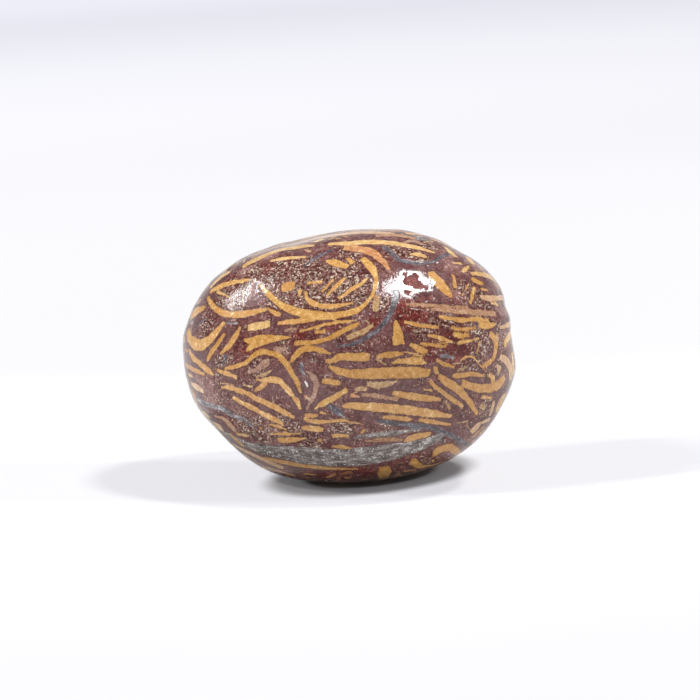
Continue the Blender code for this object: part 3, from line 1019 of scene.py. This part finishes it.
jasperFinish = {
    "ground": ((.0, (.034, .005, .005)), (.30, (.085, .018, .016)), (.58, (.155, .050, .044)),
               (.80, (.25, .110, .098)), (1.0, (.44, .26, .235))),
    "plainGround": ((.0, (.080, .025, .026)), (.45, (.120, .046, .046)), (.8, (.155, .070, .069)),
                    (1.0, (.27, .155, .148))),
    # the pink ground, which round the polished brow paints a broad sheen
    "rosyAndSheenGround": ((.0, (.105, .030, .026)), (.35, (.20, .082, .072)), (.65, (.30, .155, .140)),
                   (1.0, (.54, .36, .32))),
    "deepRed": ((.0, (.045, .005, .004)), (.45, (.115, .014, .011)), (.8, (.22, .042, .032)),
                (1.0, (.38, .15, .12))),
    "grains": ((.0, (.052, .010, .009)), (.26, (.125, .034, .028)), (.50, (.235, .105, .086)),
               (.64, (.21, .165, .115)), (.75, (.40, .265, .20)), (.89, (.66, .55, .44))),
    "grainSize": .155,
    "grainShear": .22,
    "grainShare": (.12, .92),    # how many of the grains show, away from the speckle and in it
    "grainStrength": (.5, .9),   # and how strongly
    "golden": ((.0, (.31, .135, .028)), (.4, (.455, .222, .055)), (.7, (.53, .29, .085)),
               (1.0, (.72, .50, .21))),
    "mustard": ((.0, (.355, .148, .040)), (.4, (.48, .240, .071)), (.7, (.56, .315, .106)),
                (1.0, (.77, .55, .29))),
    "straw": ((.0, (.40, .20, .075)), (.4, (.53, .32, .120)), (.7, (.62, .41, .18)),
              (1.0, (.82, .66, .42))),
    "tan": ((.0, (.25, .115, .058)), (.4, (.35, .185, .105)), (.7, (.43, .25, .15)),
            (1.0, (.70, .50, .36))),
    "rust": ((.0, (.29, .095, .036)), (.5, (.48, .23, .095)), (1.0, (.69, .44, .24))),
    "umber": ((.0, (.15, .050, .020)), (.5, (.28, .125, .052)), (1.0, (.45, .27, .14))),
    "pale": ((.0, (.40, .22, .12)), (.5, (.53, .33, .18)), (1.0, (.72, .53, .36))),
    "olive": ((.0, (.22, .12, .055)), (.5, (.38, .22, .10)), (1.0, (.60, .44, .25))),
    "blush": ((.0, (.16, .062, .045)), (.5, (.30, .165, .115)), (1.0, (.50, .35, .27))),
    # white of the scratch, also the colour of the painted highlight streaks
    "chalkAndPaintedGleam": ((.0, (.60, .55, .50)), (1.0, (.90, .88, .85))),
    "chipRim": (.25, .095, .045),
    "chipFleck": (.84, .68, .44),
    "halo": (.050, .014, .014),
    "slate": ((.0, (.030, .026, .032)), (.45, (.080, .071, .084)), (.75, (.155, .145, .165)),
              (1.0, (.40, .39, .41))),
    "mist": ((.0, (.07, .060, .065)), (.45, (.17, .155, .165)), (.75, (.30, .285, .30)),
             (1.0, (.62, .60, .60))),
    "ash": ((.0, (.040, .028, .024)), (.30, (.125, .102, .090)), (.55, (.22, .195, .180)),
            (.8, (.37, .345, .33)), (1.0, (.66, .64, .62))),
    "glint": (.74, .73, .71),
    # the noise behind the colours; each is given by its size, detail and roughness
    "clouds": {"fine": (.15, 2, .7), "middling": (.42, 2, .6), "broad": (1.5, 3, .6)},
    "mottleShares": {"broad": .28, "fine": .42, "middling": .30},
    "mottleSpan": (.38, .63),
    "plainNoise": (2.6, 1),
    "plainSpan": (.42, .56),
    "plainSpeckle": (.5, .05),   # plain ground gives way to speckle over this stretch,
    "plainTinge": (.5, .1),      # and to the red places and the pink ones, round the brow a painted sheen, over this one
    "plainStrength": .9,
    "rosyAndSheenSpan": (-.1, -.6),
    "deepClouding": .9,
    "deepSpan": (.6, 1.1),
    "deepStrength": .92,
    "dullLighter": .22,
    "patchNoise": (.8, 2),
    "patchPull": 1.2,
    "patchSpan": (-.3, .7),
    "grainEdge": .03,
    "grainDusk": .5,             # how dark a grain's border is
    "grainFull": .6,             # the grains are strongest from this much speckle on
    "dullHides": .8,             # what the dull places and the plain ground take off the grains
    "plainHides": .68,
    "streakNoise": (.7, 3, .7),
    "streakDraw": (2.2, .7),     # across a vein and along it
    "streakApart": 40.0,
    "streakShares": (.65, .35),
    "streakSpan": (.37, .65),
    "glintClouding": .25,
    "glintFrom": 1.07,
    "glintTones": (.2, .9),
    "glintStrength": (.2, .85),
    "chipCloudShares": {"middling": .5, "fine": .5},
    "cloudSpan": (.32, .68),
    "chipOwnShade": .26,         # how far apart in tone two chips of a kind may be
    "fleckNoise": (.11, 1),
    "fleckSpan": (.62, .72),
    "fleckStrength": .36,
    # the markings' edges
    "chipWave": .34,
    "waveNoise": (.8, 2, .6),
    "chipRagged": {"size": .24, "raggedness": .05, "softness": .026},
    "veinRagged": {"size": .3, "raggedness": .09, "softness": .05},
    "dullRagged": {"size": .34, "raggedness": .42, "softness": .05},
    "dullReach": .8,
    "thinHalf": .16,
    "lineSlack": .06,
    "rimWidth": .09,
    "rimStrength": .26,
    "haloWidth": .15,
    "haloStrength": .5,
    "veinCover": .94,
    # roughness
    "polish": .095,
    "polishDrift": .05,
    "polishNoise": (2.2, 2),
    "grainPolish": .10,
    "veinPolish": .24,
    "dullPolish": .85,
    "ior": 1.54,
}


def readAttribute(tree, name, output="Fac"):
    return addNode(tree, "ShaderNodeAttribute", attribute_name=name).outputs[output]


def splitParts(tree, vector):
    node = addNode(tree, "ShaderNodeSeparateXYZ")
    plug(tree, node.inputs[0], vector)
    return node.outputs["X"], node.outputs["Y"], node.outputs["Z"]


def joinParts(tree, *parts):
    node = addNode(tree, "ShaderNodeCombineXYZ")
    for place, part in enumerate(parts):
        plug(tree, node.inputs[place], part)
    return node.outputs[0]


# Several values added up, each times its share.
def weighed(tree, *parts):
    total = None
    for value, share in parts:
        part = sums(tree, "MULTIPLY", value, share)
        total = part if total is None else sums(tree, "ADD", total, part)
    return total


def tinted(tree, value):
    node = addNode(tree, "ShaderNodeCombineColor")
    for place in range(3):
        plug(tree, node.inputs[place], value)
    return node.outputs[0]


# the masks of the markings, and what else the skin's points know of them
def readMarkings(tree, place, raggedMask):
    look = jasperFinish
    # how far outside each marking's edge a spot lies; a thin one goes by its middle line
    offset, half, inward = splitParts(tree, readAttribute(tree, "chipAcross", "Vector"))
    edge, tone, own = splitParts(tree, readAttribute(tree, "chipEdge", "Vector"))
    byLine = sums(tree, "MAXIMUM", sums(tree, "SUBTRACT", sums(tree, "ABSOLUTE", offset), half),
                  sums(tree, "MULTIPLY", inward, -1.0))
    byLine = sums(tree, "MAXIMUM", byLine, sums(tree, "SUBTRACT", edge, look["lineSlack"]))
    chipEdge = blendedValue(tree, sums(tree, "LESS_THAN", half, look["thinHalf"]), edge, byLine)
    wave = sums(tree, "SUBTRACT", noise(tree, place, *look["waveNoise"]), .5)
    wavy = sums(tree, "MULTIPLY_ADD", wave, look["chipWave"], chipEdge)
    chip = useGroup(tree, raggedMask, place=place, edge=wavy, **look["chipRagged"])["mask"]
    veinOffset, _, veinAlong = splitParts(tree, readAttribute(tree, "veinAcross", "Vector"))
    veinEdge, veinTone, veinOwn = splitParts(tree, readAttribute(tree, "veinEdge", "Vector"))
    vein = useGroup(tree, raggedMask, place=place, edge=veinEdge, **look["veinRagged"])["mask"]
    speckle, tinge, dull = splitParts(tree, readAttribute(tree, "regions", "Vector"))
    dullEdge = sums(tree, "MULTIPLY", sums(tree, "SUBTRACT", .5, dull), look["dullReach"])
    dullHere = useGroup(tree, raggedMask, place=place, edge=dullEdge, **look["dullRagged"])["mask"]
    return {
        "chip": chip, "bare": sums(tree, "SUBTRACT", 1.0, chip), "tone": tone, "own": own,
        "chipHeart": mapped(tree, wavy, .0, -look["rimWidth"]),
        "chipHalo": mapped(tree, wavy, look["haloWidth"], .0),
        "vein": vein, "veinOffset": veinOffset, "veinAlong": veinAlong, "veinTone": veinTone,
        "veinOwn": veinOwn, "speckle": speckle, "tinge": tinge, "dull": dullHere,
    }


# the ground: plain mauve, mottled red, pink places (round the brow a painted sheen) and deep red places,
# and salt-and-pepper grains
def paintGround(tree, place, clouds, marks, grain):
    look = jasperFinish
    speckle, tinge, dull = marks["speckle"], marks["tinge"], marks["dull"]
    mottle = weighed(tree, *((clouds[name], share) for name, share in look["mottleShares"].items()))
    mottle = mapped(tree, mottle, *look["mottleSpan"], smooth=False)
    plainness = mapped(tree, noise(tree, place, *look["plainNoise"]), *look["plainSpan"])
    plainness = sums(tree, "MULTIPLY", plainness, mapped(tree, speckle, *look["plainSpeckle"]))
    plainness = sums(tree, "MULTIPLY", plainness,
                     mapped(tree, sums(tree, "ABSOLUTE", tinge), *look["plainTinge"]))
    ground = blended(tree, sums(tree, "MULTIPLY", plainness, look["plainStrength"]),
                     ramp(tree, mottle, look["ground"]), ramp(tree, mottle, look["plainGround"]))
    ground = blended(tree, mapped(tree, tinge, *look["rosyAndSheenSpan"]), ground,
                     ramp(tree, mottle, look["rosyAndSheenGround"]))
    deepHere = mapped(tree, sums(tree, "MULTIPLY_ADD", clouds["middling"], look["deepClouding"], tinge),
                      *look["deepSpan"])
    deepHere = sums(tree, "MAXIMUM", deepHere, dull)
    deepTone = sums(tree, "MULTIPLY_ADD", dull, look["dullLighter"], mottle)
    ground = blended(tree, sums(tree, "MULTIPLY", deepHere, look["deepStrength"]), ground,
                     ramp(tree, deepTone, look["deepRed"]))
    patch = sums(tree, "SUBTRACT", noise(tree, place, *look["patchNoise"]), .5)
    patchy = sums(tree, "MULTIPLY_ADD", patch, look["patchPull"], speckle)
    share = mapped(tree, patchy, *look["patchSpan"], *look["grainShare"], smooth=False)
    share = sums(tree, "MULTIPLY_ADD", dull, -look["dullHides"], share)
    shown = mapped(tree, sums(tree, "SUBTRACT", share, grain["second"]),
                   -look["grainEdge"], look["grainEdge"])
    grainColour = ramp(tree, grain["choice"], look["grains"], "CONSTANT")
    dusk = sums(tree, "MULTIPLY_ADD", grain["border"], look["grainDusk"], 1 - look["grainDusk"])
    grainColour = blended(tree, 1.0, grainColour, tinted(tree, dusk), "MULTIPLY")
    # away from the salt-and-pepper the grains are only a faint dusting
    strength = sums(tree, "MULTIPLY", mapped(tree, speckle, .0, look["grainFull"], *look["grainStrength"]),
                    sums(tree, "MULTIPLY_ADD", plainness, -look["plainHides"], 1.0))
    return blended(tree, sums(tree, "MULTIPLY", shown, strength), ground, grainColour), shown


# veins, streaked along their length, with a few white glints
def paintVeins(tree, clouds, marks, grain):
    look = jasperFinish
    across, along = look["streakDraw"]
    flow = joinParts(tree, sums(tree, "MULTIPLY", marks["veinOffset"], across),
                     sums(tree, "MULTIPLY", marks["veinAlong"], along),
                     sums(tree, "MULTIPLY", marks["veinOwn"], look["streakApart"]))
    streakShare, fineShare = look["streakShares"]
    streak = weighed(tree, (noise(tree, flow, *look["streakNoise"]), streakShare),
                     (clouds["fine"], fineShare))
    streak = mapped(tree, streak, *look["streakSpan"], smooth=False)
    colour = ramp(tree, streak, look["slate"])
    for limit, name in ((.25, "mist"), (.75, "ash")):  # halfway between the veins' tones
        colour = blended(tree, sums(tree, "GREATER_THAN", marks["veinTone"], limit), colour,
                         ramp(tree, streak, look[name]))
    bright = sums(tree, "MULTIPLY_ADD", clouds["middling"], look["glintClouding"], grain["second"])
    glint = sums(tree, "GREATER_THAN", bright, look["glintFrom"])
    glint = sums(tree, "MULTIPLY", glint, mapped(tree, marks["veinTone"], *look["glintTones"],
                                                 *look["glintStrength"], smooth=False))
    return blended(tree, glint, colour, (*look["glint"], 1))


# chips: clouded and flecked, with a thin warm rim
def paintChips(tree, place, clouds, marks):
    look = jasperFinish
    cloud = weighed(tree, *((clouds[name], share) for name, share in look["chipCloudShares"].items()))
    cloud = sums(tree, "ADD", mapped(tree, cloud, *look["cloudSpan"], smooth=False),
                 sums(tree, "MULTIPLY_ADD", marks["own"], look["chipOwnShade"], -look["chipOwnShade"] / 2))
    colour = ramp(tree, cloud, look[chipTones[0]])
    for before, name in enumerate(chipTones[1:]):
        limit = (before + .5) / (len(chipTones) - 1)
        colour = blended(tree, sums(tree, "GREATER_THAN", marks["tone"], limit), colour,
                         ramp(tree, cloud, look[name]))
    fleck = mapped(tree, noise(tree, place, *look["fleckNoise"]), *look["fleckSpan"])
    colour = blended(tree, sums(tree, "MULTIPLY", fleck, look["fleckStrength"]), colour,
                     (*look["chipFleck"], 1))
    return blended(tree, sums(tree, "MULTIPLY_ADD", marks["chipHeart"], -look["rimStrength"],
                              look["rimStrength"]), colour, (*look["chipRim"], 1))


# polish, a little rougher where the grains are
def roughenPolish(tree, place, marks, grain, shown):
    look = jasperFinish
    rough = sums(tree, "MULTIPLY_ADD", noise(tree, place, *look["polishNoise"]), look["polishDrift"],
                 look["polish"] - look["polishDrift"] / 2)
    grainy = sums(tree, "MULTIPLY", sums(tree, "MULTIPLY", grain["second"], grain["second"]), shown)
    rough = sums(tree, "MULTIPLY_ADD", sums(tree, "MULTIPLY", grainy, marks["bare"]),
                 look["grainPolish"], rough)
    rough = blendedValue(tree, sums(tree, "MULTIPLY", marks["vein"], marks["bare"]), rough,
                         look["veinPolish"])
    return blendedValue(tree, marks["dull"], rough, look["dullPolish"])


# orange-peel, grains and chips a hair proud, veins and dull pits worn down; heights in millimetres
jasperRelief = {
    "orangePeel": .022,
    "orangePeelNoise": (1.4, 1),
    "fine": .004,
    "fineGround": .006,
    "middling": .017,
    "middlingSpeckle": .016,
    "grain": .011,
    "chip": .008,
    "vein": .014,   # this and the next two are depths
    "pit": .13,
    "dull": .05,
    "pitNoise": (.3, 2, .7),
    "pitSpan": (.48, .62),
}


def raiseRelief(tree, place, clouds, marks, grain):
    relief = jasperRelief
    fine, middling, bare, dull = clouds["fine"], clouds["middling"], marks["bare"], marks["dull"]
    pits = mapped(tree, noise(tree, place, *relief["pitNoise"]), *relief["pitSpan"])
    height = sums(tree, "MULTIPLY", noise(tree, place, *relief["orangePeelNoise"]), relief["orangePeel"])
    coarse = sums(tree, "MULTIPLY_ADD", marks["speckle"], relief["middlingSpeckle"], relief["middling"])
    for way, part, amount in (("ADD", fine, relief["fine"]),
                              ("ADD", sums(tree, "MULTIPLY", fine, bare), relief["fineGround"]),
                              ("ADD", middling, coarse),
                              ("ADD", sums(tree, "MULTIPLY", grain["choice"], bare), relief["grain"]),
                              ("ADD", marks["chip"], relief["chip"]),
                              ("SUBTRACT", sums(tree, "MULTIPLY", marks["vein"], bare), relief["vein"]),
                              ("SUBTRACT", sums(tree, "MULTIPLY", pits, dull), relief["pit"]),
                              ("SUBTRACT", dull, relief["dull"])):
        height = sums(tree, way, height, sums(tree, "MULTIPLY", part, amount))
    bump = addNode(tree, "ShaderNodeBump")
    bump.inputs["Strength"].default_value = 1.0
    bump.inputs["Distance"].default_value = mm
    plug(tree, bump.inputs["Height"], height)
    return bump.outputs["Normal"]


def buildJasper():
    material = bpy.data.materials.new("polishedJasper")
    material.use_nodes = True
    tree = material.node_tree
    shader = tree.nodes["Principled BSDF"]
    look = jasperFinish
    place = vectorSums(tree, "SCALE", addNode(tree, "ShaderNodeTexCoord").outputs["Object"], scale=1000.0)
    clouds = {name: noise(tree, place, *setting) for name, setting in look["clouds"].items()}
    marks = readMarkings(tree, place, buildRaggedMask())
    grain = useGroup(tree, buildGrains(), place=place, size=look["grainSize"], shear=look["grainShear"])
    colour, shown = paintGround(tree, place, clouds, marks, grain)
    colour = blended(tree, sums(tree, "MULTIPLY", marks["vein"], look["veinCover"]), colour,
                     paintVeins(tree, clouds, marks, grain))
    # the ground is a little darker just outside a chip
    colour = blended(tree, sums(tree, "MULTIPLY", marks["chipHalo"], look["haloStrength"]), colour,
                     (*look["halo"], 1))
    colour = blended(tree, marks["chip"], colour, paintChips(tree, place, clouds, marks))
    plug(tree, shader.inputs["Base Color"], colour)
    plug(tree, shader.inputs["Roughness"], roughenPolish(tree, place, marks, grain, shown))
    plug(tree, shader.inputs["Normal"], raiseRelief(tree, place, clouds, marks, grain))
    shader.inputs["IOR"].default_value = look["ior"]
    shader.inputs["Metallic"].default_value = 0.0
    return material


# floor and lights

stageSetup = {
    "floorSize": 6000,
    "floorColour": (.87, .87, .875),
    # what the camera sees of the floor: a share of the light on it, and a glow of its own that grows
    # from the pebble's foot outwards; the glow is painted floor light, dark under the foot as a painted
    # contact shadow
    "lightShare": .33,
    "footShadowMiddle": (2.05, -.94),  # the painted contact shadow under the foot is an ellipse, sheared by the slant
    "footShadowSlant": .45,
    "footShadowReach": (9.32, 8.39),
    "paintedFootShadow": ((.0, .0), (.58, .0), (.70, .10), (.86, .12), (1.13, .658)),
    # the soft shadows to both sides lie in a band that bends away on the right; painted light brightens the
    # floor outside it and so narrows them
    "bandMiddle": -3.0,
    "bandBend": (5.0, .45),  # from so far aside on, and by how much
    "paintedBandLight": ((7.0, .0), (10.5, .10), (26, .10), (60, .0)),
    # painted light that keeps the far floor bright where the lamps' light falls off with distance
    "paintedFarLight": ((60, .0), (227, .05), (421, .13), (504, .14), (723, .08), (902, .15)),
    "farSlant": .00109,
    # a glow of the floor that only diffuse rays see, none near the foot: painted fill light on the pebble's
    # underside
    "paintedFillGlow": ((13, .0), (30, .55)),
    "tintSpan": (290, 840),  # from the near tint to the far one
    "paintedLightNear": (.985, .985, 1.04),
    "paintedLightFar": (.955, .96, 1.06),
    "skySpan": (.0, .4),     # the rise from the horizon's light to the zenith's
    "horizonLight": (.90, .90, .92),
    "zenithLight": (.16, .16, .165),
    "lightAim": 11,  # the height that the lights point at
    # each light: direction from the pebble, distance, width, height, brightness, colour and what it
    # acts on, because a broad soft shadow and a crisp reflection need lights of different sizes
    "lights": {
        "overheadSoftbox": {"towards": (0, -.05, 1), "distance": 600, "width": 600, "height": 600,
                            "brightness": 2.5, "colour": (1, 1, 1), "acts": "diffuse", "on": "stone"},
        "rightShade": {"towards": (.475, .11, .84), "distance": 500, "width": 70, "height": 55,
                       "brightness": 158, "colour": (1, .99, .98), "acts": "diffuse"},
        "rightGleam": {"towards": (.39, -.10, .92), "distance": 500, "width": 215, "height": 118,
                       "brightness": 58, "colour": (1, 1, 1), "acts": "glossy"},
        "leftShade": {"towards": (-.70, -.28, .62), "distance": 500, "width": 60, "height": 50,
                      "brightness": 146, "colour": (.98, .99, 1), "acts": "diffuse"},
        "leftGleam": {"towards": (-.757, .07, .65), "distance": 500, "width": 32, "height": 26,
                      "brightness": 122, "colour": (1, 1, 1), "acts": "glossy"},
    },
}


# A level that eases from each stop to the next; a stop is a value and the level there.
def graded(tree, value, stops):
    level = stops[0][1]
    for (start, low), (end, high) in zip(stops, stops[1:]):
        if high != low:
            level = sums(tree, "ADD", level, mapped(tree, value, start, end, 0.0, high - low))
    return level


# The glow that the camera sees, painted light and shade on the floor: dark under the pebble as a painted
# contact shadow, dim along the side shadows, bright beyond.
def paintFloorLightAndShade(tree, place, away):
    aside, depth, _ = splitParts(tree, place)
    sheared = sums(tree, "MULTIPLY_ADD", aside, -stageSetup["footShadowSlant"], depth)
    fromFoot = vectorSums(tree, "SUBTRACT", joinParts(tree, aside, sheared, 0.0),
                          (*stageSetup["footShadowMiddle"], 0))
    overFoot = vectorSums(tree, "LENGTH",
                          vectorSums(tree, "DIVIDE", fromFoot, (*stageSetup["footShadowReach"], 1)))
    # the painted far light leans in the picture, so it comes sooner on the right
    nearness = sums(tree, "DIVIDE", 1.0, sums(tree, "ADD", away, view["distance"]))
    lean = sums(tree, "MULTIPLY", sums(tree, "DIVIDE", aside, sums(tree, "ADD", away, view["distance"])),
                stageSetup["farSlant"])
    far = sums(tree, "SUBTRACT", sums(tree, "DIVIDE", 1.0, sums(tree, "ADD", nearness, lean)),
               view["distance"])
    bendFrom, bendBy = stageSetup["bandBend"]
    pastBend = sums(tree, "MAXIMUM", sums(tree, "SUBTRACT", aside, bendFrom), 0.0)
    bend = sums(tree, "MULTIPLY", pastBend, bendBy)
    offBand = sums(tree, "SUBTRACT", sums(tree, "SUBTRACT", depth, stageSetup["bandMiddle"]), bend)
    glow = sums(tree, "ADD", graded(tree, overFoot, stageSetup["paintedFootShadow"]),
                graded(tree, sums(tree, "ABSOLUTE", offBand), stageSetup["paintedBandLight"]))
    return sums(tree, "ADD", glow, graded(tree, far, stageSetup["paintedFarLight"])), far


def buildPaleFloor():
    material = bpy.data.materials.new("paleFloor")
    material.use_nodes = True
    tree = material.node_tree
    shader = tree.nodes["Principled BSDF"]
    place = vectorSums(tree, "SCALE", addNode(tree, "ShaderNodeTexCoord").outputs["Object"], scale=1000.0)
    away = vectorSums(tree, "LENGTH", place)
    glow, far = paintFloorLightAndShade(tree, place, away)
    rays = addNode(tree, "ShaderNodeLightPath").outputs
    seen = rays["Is Camera Ray"]
    bounce = sums(tree, "MULTIPLY", graded(tree, away, stageSetup["paintedFillGlow"]), rays["Is Diffuse Ray"])
    full = (*stageSetup["floorColour"], 1)
    shared = (*(part * stageSetup["lightShare"] for part in stageSetup["floorColour"]), 1)
    plug(tree, shader.inputs["Base Color"], blended(tree, seen, full, shared))
    shader.inputs["Roughness"].default_value = 1.0
    shader.inputs["Specular IOR Level"].default_value = 0.0
    plug(tree, shader.inputs["Emission Color"],
         blended(tree, mapped(tree, far, *stageSetup["tintSpan"]), (*stageSetup["paintedLightNear"], 1),
                 (*stageSetup["paintedLightFar"], 1)))
    # camera rays see the painted floor light and shade, diffuse rays the painted fill glow
    plug(tree, shader.inputs["Emission Strength"], blendedValue(tree, seen, bounce, glow))
    return material


def addFloor():
    half = stageSetup["floorSize"] * mm / 2
    mesh = bpy.data.meshes.new("studioFloor")
    mesh.from_pydata([(-half, -half, 0), (half, -half, 0), (half, half, 0), (-half, half, 0)], [],
                     [(0, 1, 2, 3)])
    mesh.materials.append(buildPaleFloor())
    floor = bpy.data.objects.new("studioFloor", mesh)
    bpy.context.scene.collection.objects.link(floor)
    return floor


def addWorld():
    world = bpy.data.worlds.new("whiteRoom")
    bpy.context.scene.world = world
    world.use_nodes = True
    tree = world.node_tree
    _, _, height = splitParts(tree, addNode(tree, "ShaderNodeTexCoord").outputs["Generated"])
    tone = blended(tree, mapped(tree, height, *stageSetup["skySpan"]), (*stageSetup["horizonLight"], 1),
                   (*stageSetup["zenithLight"], 1))
    plug(tree, tree.nodes["Background"].inputs["Color"], tone)


def addLights(stone):
    onlyStone = bpy.data.collections.new("onlyStone")
    onlyStone.objects.link(stone)
    for name, setup in stageSetup["lights"].items():
        data = bpy.data.lights.new(name, "AREA")
        data.shape = "RECTANGLE"
        data.size = setup["width"] * mm
        data.size_y = setup["height"] * mm
        data.energy = setup["brightness"] * math.pi * data.size * data.size_y
        data.color = setup["colour"]
        light = bpy.data.objects.new(name, data)
        towards = Vector(setup["towards"]).normalized()
        light.location = towards * setup["distance"] * mm + Vector((0, 0, stageSetup["lightAim"] * mm))
        light.rotation_euler = towards.to_track_quat("Z", "Y").to_euler()
        light.visible_glossy = setup["acts"] != "diffuse"
        light.visible_diffuse = setup["acts"] != "glossy"
        if setup.get("on") == "stone":
            light.light_linking.receiver_collection = onlyStone
        bpy.context.scene.collection.objects.link(light)


# the scene, in order

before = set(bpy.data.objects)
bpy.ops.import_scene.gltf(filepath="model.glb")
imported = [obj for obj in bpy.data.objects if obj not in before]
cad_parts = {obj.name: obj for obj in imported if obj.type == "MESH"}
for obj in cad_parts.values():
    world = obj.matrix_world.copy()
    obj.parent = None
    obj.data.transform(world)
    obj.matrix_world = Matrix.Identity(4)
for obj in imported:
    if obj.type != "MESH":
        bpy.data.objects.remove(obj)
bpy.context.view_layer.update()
eye = cameraFrame(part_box("jasper_stone"))
addCamera(eye)
print("camera placed")

jasper = buildJasper()
skin = addSkin(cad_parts["jasper_stone"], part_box("jasper_stone"), jasper)
unwrapSkin(skin.data)
raiseKnuckles(skin, eye)
surface = Surface(skin.data)
print(f"skin made, {len(skin.data.polygons)} faces")

frontRuns = layFront(surface, eye, frontChips)
grownRuns = growChips(surface, eye, frontRuns)
veinRuns = layFront(surface, eye, frontVeins) + growVeins(surface, eye)
print(f"{len(frontRuns)} chips laid, {len(grownRuns)} grown, {len(veinRuns)} veins")

edge, across, nature = measureRuns(surface, frontRuns + grownRuns, 1)
storeValues(skin.data, "chipAcross", across)
storeValues(skin.data, "chipEdge", np.column_stack([edge, nature]))
edge, across, nature = measureRuns(surface, veinRuns, 2, blunt=False)
storeValues(skin.data, "veinAcross", across)
storeValues(skin.data, "veinEdge", np.column_stack([edge, nature]))
regions = shadeRegions(surface, eye)
storeValues(skin.data, "regions", regions)
writePoints(skin.data, surface.points - surface.normals * regions[:, 2:] * stoneSkin["dullSunk"])
print("markings measured")

floor = addFloor()
addWorld()
addLights(skin)
bpy.context.scene.view_settings.view_transform = "Standard"
bpy.context.scene.view_settings.look = "None"
print("stage set")

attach(skin, "root")
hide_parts("jasper_stone")
